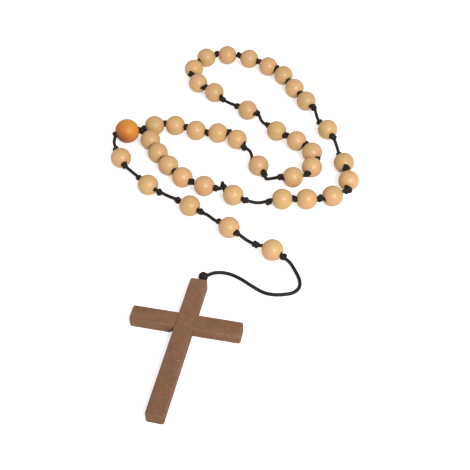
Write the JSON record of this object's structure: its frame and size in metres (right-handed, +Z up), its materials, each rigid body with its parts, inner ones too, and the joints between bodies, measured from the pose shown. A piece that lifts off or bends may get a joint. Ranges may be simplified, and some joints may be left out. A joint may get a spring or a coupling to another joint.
{
  "type": "wooden bead rosary",
  "caption": "Rosary of round wooden beads on a knotted black cord loop, with a larger orange bead at the junction, a short beaded tail and a plain wooden cross, lying loosely coiled.",
  "frame": {"origin": "on the table, under the middle of the whole rosary as it lies", "axes": "+Z up from the table it lies on; +Y from the cross towards the far end of the loop; +X to the right of someone who looks along +Y"},
  "size_m": [0.1797, 0.3476, 0.0178],
  "materials": {
    "pale_wood": "smooth turned wood with a soft clear varnish",
    "orange_wood": "smooth turned wood stained orange, soft sheen",
    "brown_wood": "sawn sticks stained matt brown",
    "black_cord": "waxed black cord, knotted"
  },
  "bodies": {
    "loop": {"centre_cord": "black_cord", "loop_cord_outgoing": "black_cord", "loop_cord_returning": "black_cord", "cord_cut_end": "black_cord"},
    "loop_far": {"loop_cord_far_left": "black_cord", "loop_cord_far_right": "black_cord"},
    "loop_tip": {"loop_cord_tip": "black_cord"},
    "tail_knot": {"centre_lower_knot": "black_cord"},
    "tail_1": {"tail_cord_1": "black_cord"},
    "tail_2": {"tail_cord_2": "black_cord"},
    "tail_3": {"tail_cord_3": "black_cord"},
    "tail_4": {"tail_cord_4": "black_cord"},
    "tail_5": {"tail_cord_5": "black_cord"},
    "pendant": {"pendant_cord": "black_cord"},
    "cross_swivel": {"cross_knot": "black_cord"},
    "cross": {"cross_post": "brown_wood", "cross_bar": "brown_wood", "cross_cord_end": "black_cord"},
    "loop_bead_01": {"loop_bead_01": "pale_wood"},
    "loop_bead_02": {"loop_bead_02": "pale_wood"},
    "loop_bead_03": {"loop_bead_03": "pale_wood"},
    "loop_bead_04": {"loop_bead_04": "pale_wood"},
    "loop_bead_05": {"loop_bead_05": "pale_wood"},
    "loop_bead_06": {"loop_bead_06": "pale_wood"},
    "loop_bead_07": {"loop_bead_07": "pale_wood"},
    "loop_bead_08": {"loop_bead_08": "pale_wood"},
    "loop_bead_09": {"loop_bead_09": "pale_wood"},
    "loop_bead_10": {"loop_bead_10": "pale_wood"},
    "loop_bead_11": {"loop_bead_11": "pale_wood"},
    "loop_bead_12": {"loop_bead_12": "pale_wood"},
    "loop_bead_13": {"loop_bead_13": "pale_wood"},
    "loop_bead_14": {"loop_bead_14": "pale_wood"},
    "loop_bead_15": {"loop_bead_15": "pale_wood"},
    "loop_bead_16": {"loop_bead_16": "pale_wood"},
    "loop_bead_17": {"loop_bead_17": "pale_wood"},
    "loop_bead_18": {"loop_bead_18": "pale_wood"},
    "loop_bead_19": {"loop_bead_19": "pale_wood"},
    "loop_bead_20": {"loop_bead_20": "pale_wood"},
    "loop_bead_21": {"loop_bead_21": "pale_wood"},
    "loop_bead_22": {"loop_bead_22": "pale_wood"},
    "loop_bead_23": {"loop_bead_23": "pale_wood"},
    "loop_bead_24": {"loop_bead_24": "pale_wood"},
    "loop_bead_25": {"loop_bead_25": "pale_wood"},
    "loop_bead_26": {"loop_bead_26": "pale_wood"},
    "loop_bead_27": {"loop_bead_27": "pale_wood"},
    "loop_bead_28": {"loop_bead_28": "pale_wood"},
    "loop_bead_29": {"loop_bead_29": "pale_wood"},
    "loop_bead_30": {"loop_bead_30": "pale_wood"},
    "loop_bead_31": {"loop_bead_31": "pale_wood"},
    "loop_bead_32": {"loop_bead_32": "pale_wood"},
    "loop_bead_33": {"loop_bead_33": "pale_wood"},
    "loop_bead_34": {"loop_bead_34": "pale_wood"},
    "centre_bead": {"centre_bead": "orange_wood"},
    "tail_bead_1": {"tail_bead_1": "pale_wood"},
    "tail_bead_2": {"tail_bead_2": "pale_wood"},
    "tail_bead_3": {"tail_bead_3": "pale_wood"},
    "tail_bead_4": {"tail_bead_4": "pale_wood"},
    "tail_bead_5": {"tail_bead_5": "pale_wood"}
  },
  "joints": [
    {"name": "fold_loop_far", "type": "hinge", "parent": "loop", "child": "loop_far", "pos_m": [0.02622, 0.08159, 0.0073], "axis": [0.8537, -0.5207, 0], "range_deg": [0, 60]},
    {"name": "fold_loop_tip", "type": "hinge", "parent": "loop_far", "child": "loop_tip", "pos_m": [0.00522, 0.10568, 0.0073], "axis": [0.9496, -0.3135, 0], "range_deg": [0, 60]},
    {"name": "swing_tail", "type": "hinge", "parent": "loop", "child": "tail_knot", "pos_m": [-0.08793, 0.07225, 0.0089], "axis": [0, 0, 1], "range_deg": [-45, 3]},
    {"name": "lift_tail", "type": "hinge", "parent": "tail_knot", "child": "tail_1", "pos_m": [-0.08793, 0.07225, 0.0089], "axis": [-1, 0, 0], "range_deg": [0, 70]},
    {"name": "bend_tail_2", "type": "hinge", "parent": "tail_1", "child": "tail_2", "pos_m": [-0.0754, 0.03871, 0.0073], "axis": [0, 0, 1], "range_deg": [-15, 0]},
    {"name": "bend_tail_3", "type": "hinge", "parent": "tail_2", "child": "tail_3", "pos_m": [-0.05181, 0.01252, 0.0073], "axis": [0, 0, 1], "range_deg": [-15, 0]},
    {"name": "bend_tail_4", "type": "hinge", "parent": "tail_3", "child": "tail_4", "pos_m": [-0.02121, -0.00761, 0.0073], "axis": [0, 0, 1], "range_deg": [-15, 5]},
    {"name": "bend_tail_5", "type": "hinge", "parent": "tail_4", "child": "tail_5", "pos_m": [0.00525, -0.02907, 0.0073], "axis": [0, 0, 1], "range_deg": [-15, 10]},
    {"name": "swing_pendant", "type": "hinge", "parent": "tail_5", "child": "pendant", "pos_m": [0.03434, -0.04929, 0.0073], "axis": [0, 0, 1], "range_deg": [-20, 20]},
    {"name": "swing_cross", "type": "hinge", "parent": "pendant", "child": "cross_swivel", "pos_m": [-0.0186, -0.0655, 0.0042], "axis": [0, 0, 1], "range_deg": [-25, 25]},
    {"name": "lift_cross", "type": "hinge", "parent": "cross_swivel", "child": "cross", "pos_m": [-0.0186, -0.0655, 0.0042], "axis": [-0.9728, 0.2317, 0], "range_deg": [0, 85]},
    {"name": "turn_centre_bead", "type": "hinge", "parent": "loop", "child": "centre_bead", "pos_m": [-0.077, 0.0748, 0.0089], "axis": [-0.9738, -0.2275, 0], "continuous": true},
    {"name": "turn_loop_bead_01", "type": "hinge", "parent": "loop", "child": "loop_bead_01", "pos_m": [-0.0572, 0.0824, 0.0073], "axis": [0.98, 0.1992, 0], "continuous": true},
    {"name": "turn_loop_bead_02", "type": "hinge", "parent": "loop", "child": "loop_bead_02", "pos_m": [-0.0417, 0.0823, 0.0073], "axis": [0.9824, -0.187, 0], "continuous": true},
    {"name": "turn_loop_bead_03", "type": "hinge", "parent": "loop", "child": "loop_bead_03", "pos_m": [-0.0262, 0.0765, 0.0073], "axis": [0.9628, -0.2703, 0], "continuous": true},
    {"name": "turn_loop_bead_04", "type": "hinge", "parent": "loop", "child": "loop_bead_04", "pos_m": [-0.01, 0.0734, 0.0073], "axis": [0.9445, -0.3284, 0], "continuous": true},
    {"name": "turn_loop_bead_05", "type": "hinge", "parent": "loop", "child": "loop_bead_05", "pos_m": [0.004, 0.066, 0.0073], "axis": [0.7688, -0.6395, 0], "continuous": true},
    {"name": "turn_loop_bead_06", "type": "hinge", "parent": "loop", "child": "loop_bead_06", "pos_m": [0.019, 0.0378, 0.0073], "axis": [0.4432, -0.8964, 0], "continuous": true},
    {"name": "turn_loop_bead_07", "type": "hinge", "parent": "loop", "child": "loop_bead_07", "pos_m": [0.043, 0.0254, 0.0073], "axis": [0.9639, 0.2663, 0], "continuous": true},
    {"name": "turn_loop_bead_08", "type": "hinge", "parent": "loop", "child": "loop_bead_08", "pos_m": [0.057, 0.0354, 0.0073], "axis": [0.5055, 0.8628, 0], "continuous": true},
    {"name": "turn_loop_bead_09", "type": "hinge", "parent": "loop", "child": "loop_bead_09", "pos_m": [0.058, 0.051, 0.0073], "axis": [-0.3182, 0.948, 0], "continuous": true},
    {"name": "turn_loop_bead_10", "type": "hinge", "parent": "loop", "child": "loop_bead_10", "pos_m": [0.0475, 0.0637, 0.0073], "axis": [-0.7186, 0.6954, 0], "continuous": true},
    {"name": "turn_loop_bead_11", "type": "hinge", "parent": "loop", "child": "loop_bead_11", "pos_m": [0.0333, 0.0749, 0.0073], "axis": [-0.7273, 0.6864, 0], "continuous": true},
    {"name": "turn_loop_bead_12", "type": "hinge", "parent": "loop_far", "child": "loop_bead_12", "pos_m": [0.0123, 0.099, 0.0073], "axis": [-0.7275, 0.6862, 0], "continuous": true},
    {"name": "turn_loop_bead_13", "type": "hinge", "parent": "loop_tip", "child": "loop_bead_13", "pos_m": [-0.013, 0.1204, 0.0073], "axis": [-0.737, 0.6759, 0], "continuous": true},
    {"name": "turn_loop_bead_14", "type": "hinge", "parent": "loop_tip", "child": "loop_bead_14", "pos_m": [-0.0256, 0.132, 0.0073], "axis": [-0.4826, 0.8758, 0], "continuous": true},
    {"name": "turn_loop_bead_15", "type": "hinge", "parent": "loop_tip", "child": "loop_bead_15", "pos_m": [-0.0292, 0.1498, 0.0073], "axis": [0.1832, 0.9831, 0], "continuous": true},
    {"name": "turn_loop_bead_16", "type": "hinge", "parent": "loop_tip", "child": "loop_bead_16", "pos_m": [-0.0196, 0.1642, 0.0073], "axis": [0.835, 0.5503, 0], "continuous": true},
    {"name": "turn_loop_bead_17", "type": "hinge", "parent": "loop_tip", "child": "loop_bead_17", "pos_m": [-0.0028, 0.1672, 0.0073], "axis": [0.9983, -0.0584, 0], "continuous": true},
    {"name": "turn_loop_bead_18", "type": "hinge", "parent": "loop_tip", "child": "loop_bead_18", "pos_m": [0.0146, 0.1622, 0.0073], "axis": [0.9043, -0.4269, 0], "continuous": true},
    {"name": "turn_loop_bead_19", "type": "hinge", "parent": "loop_tip", "child": "loop_bead_19", "pos_m": [0.0294, 0.152, 0.0073], "axis": [0.774, -0.6332, 0], "continuous": true},
    {"name": "turn_loop_bead_20", "type": "hinge", "parent": "loop_tip", "child": "loop_bead_20", "pos_m": [0.041, 0.1406, 0.0073], "axis": [0.5751, -0.8181, 0], "continuous": true},
    {"name": "turn_loop_bead_21", "type": "hinge", "parent": "loop_tip", "child": "loop_bead_21", "pos_m": [0.0488, 0.1244, 0.0073], "axis": [0.4517, -0.8922, 0], "continuous": true},
    {"name": "turn_loop_bead_22", "type": "hinge", "parent": "loop_tip", "child": "loop_bead_22", "pos_m": [0.057, 0.109, 0.0073], "axis": [0.4315, -0.9021, 0], "continuous": true},
    {"name": "turn_loop_bead_23", "type": "hinge", "parent": "loop_far", "child": "loop_bead_23", "pos_m": [0.071, 0.076, 0.0073], "axis": [0.3551, -0.9348, 0], "continuous": true},
    {"name": "turn_loop_bead_24", "type": "hinge", "parent": "loop", "child": "loop_bead_24", "pos_m": [0.0802, 0.0398, 0.0073], "axis": [0.1332, -0.9911, 0], "continuous": true},
    {"name": "turn_loop_bead_25", "type": "hinge", "parent": "loop", "child": "loop_bead_25", "pos_m": [0.082, 0.0213, 0.0073], "axis": [-0.3009, -0.9537, 0], "continuous": true},
    {"name": "turn_loop_bead_26", "type": "hinge", "parent": "loop", "child": "loop_bead_26", "pos_m": [0.0696, 0.0062, 0.0073], "axis": [-0.8617, -0.5074, 0], "continuous": true},
    {"name": "turn_loop_bead_27", "type": "hinge", "parent": "loop", "child": "loop_bead_27", "pos_m": [0.0516, 0.0034, 0.0073], "axis": [-0.9973, -0.0741, 0], "continuous": true},
    {"name": "turn_loop_bead_28", "type": "hinge", "parent": "loop", "child": "loop_bead_28", "pos_m": [0.0346, 0.0036, 0.0073], "axis": [-0.9998, -0.0176, 0], "continuous": true},
    {"name": "turn_loop_bead_29", "type": "hinge", "parent": "loop", "child": "loop_bead_29", "pos_m": [0.0008, 0.0081, 0.0073], "axis": [-0.8691, 0.4947, 0], "continuous": true},
    {"name": "turn_loop_bead_30", "type": "hinge", "parent": "loop", "child": "loop_bead_30", "pos_m": [-0.0195, 0.0175, 0.0073], "axis": [-0.948, 0.3184, 0], "continuous": true},
    {"name": "turn_loop_bead_31", "type": "hinge", "parent": "loop", "child": "loop_bead_31", "pos_m": [-0.035, 0.0265, 0.0073], "axis": [-0.7694, 0.6387, 0], "continuous": true},
    {"name": "turn_loop_bead_32", "type": "hinge", "parent": "loop", "child": "loop_bead_32", "pos_m": [-0.0454, 0.039, 0.0073], "axis": [-0.5821, 0.8131, 0], "continuous": true},
    {"name": "turn_loop_bead_33", "type": "hinge", "parent": "loop", "child": "loop_bead_33", "pos_m": [-0.0534, 0.0522, 0.0073], "axis": [-0.4589, 0.8885, 0], "continuous": true},
    {"name": "turn_loop_bead_34", "type": "hinge", "parent": "loop", "child": "loop_bead_34", "pos_m": [-0.0595, 0.0663, 0.0073], "axis": [-0.4571, 0.8894, 0], "continuous": true},
    {"name": "turn_tail_bead_1", "type": "hinge", "parent": "tail_1", "child": "tail_bead_1", "pos_m": [-0.0798, 0.0474, 0.0073], "axis": [0.4517, -0.8922, 0], "continuous": true},
    {"name": "turn_tail_bead_2", "type": "hinge", "parent": "tail_2", "child": "tail_bead_2", "pos_m": [-0.0589, 0.0192, 0.0073], "axis": [0.7275, -0.6861, 0], "continuous": true},
    {"name": "turn_tail_bead_3", "type": "hinge", "parent": "tail_3", "child": "tail_bead_3", "pos_m": [-0.0291, -0.0019, 0.0073], "axis": [0.81, -0.5864, 0], "continuous": true},
    {"name": "turn_tail_bead_4", "type": "hinge", "parent": "tail_4", "child": "tail_bead_4", "pos_m": [-0.0022, -0.0228, 0.0073], "axis": [0.7654, -0.6436, 0], "continuous": true},
    {"name": "turn_tail_bead_5", "type": "hinge", "parent": "tail_5", "child": "tail_bead_5", "pos_m": [0.0263, -0.0438, 0.0073], "axis": [0.8256, -0.5643, 0], "continuous": true}
  ]
}
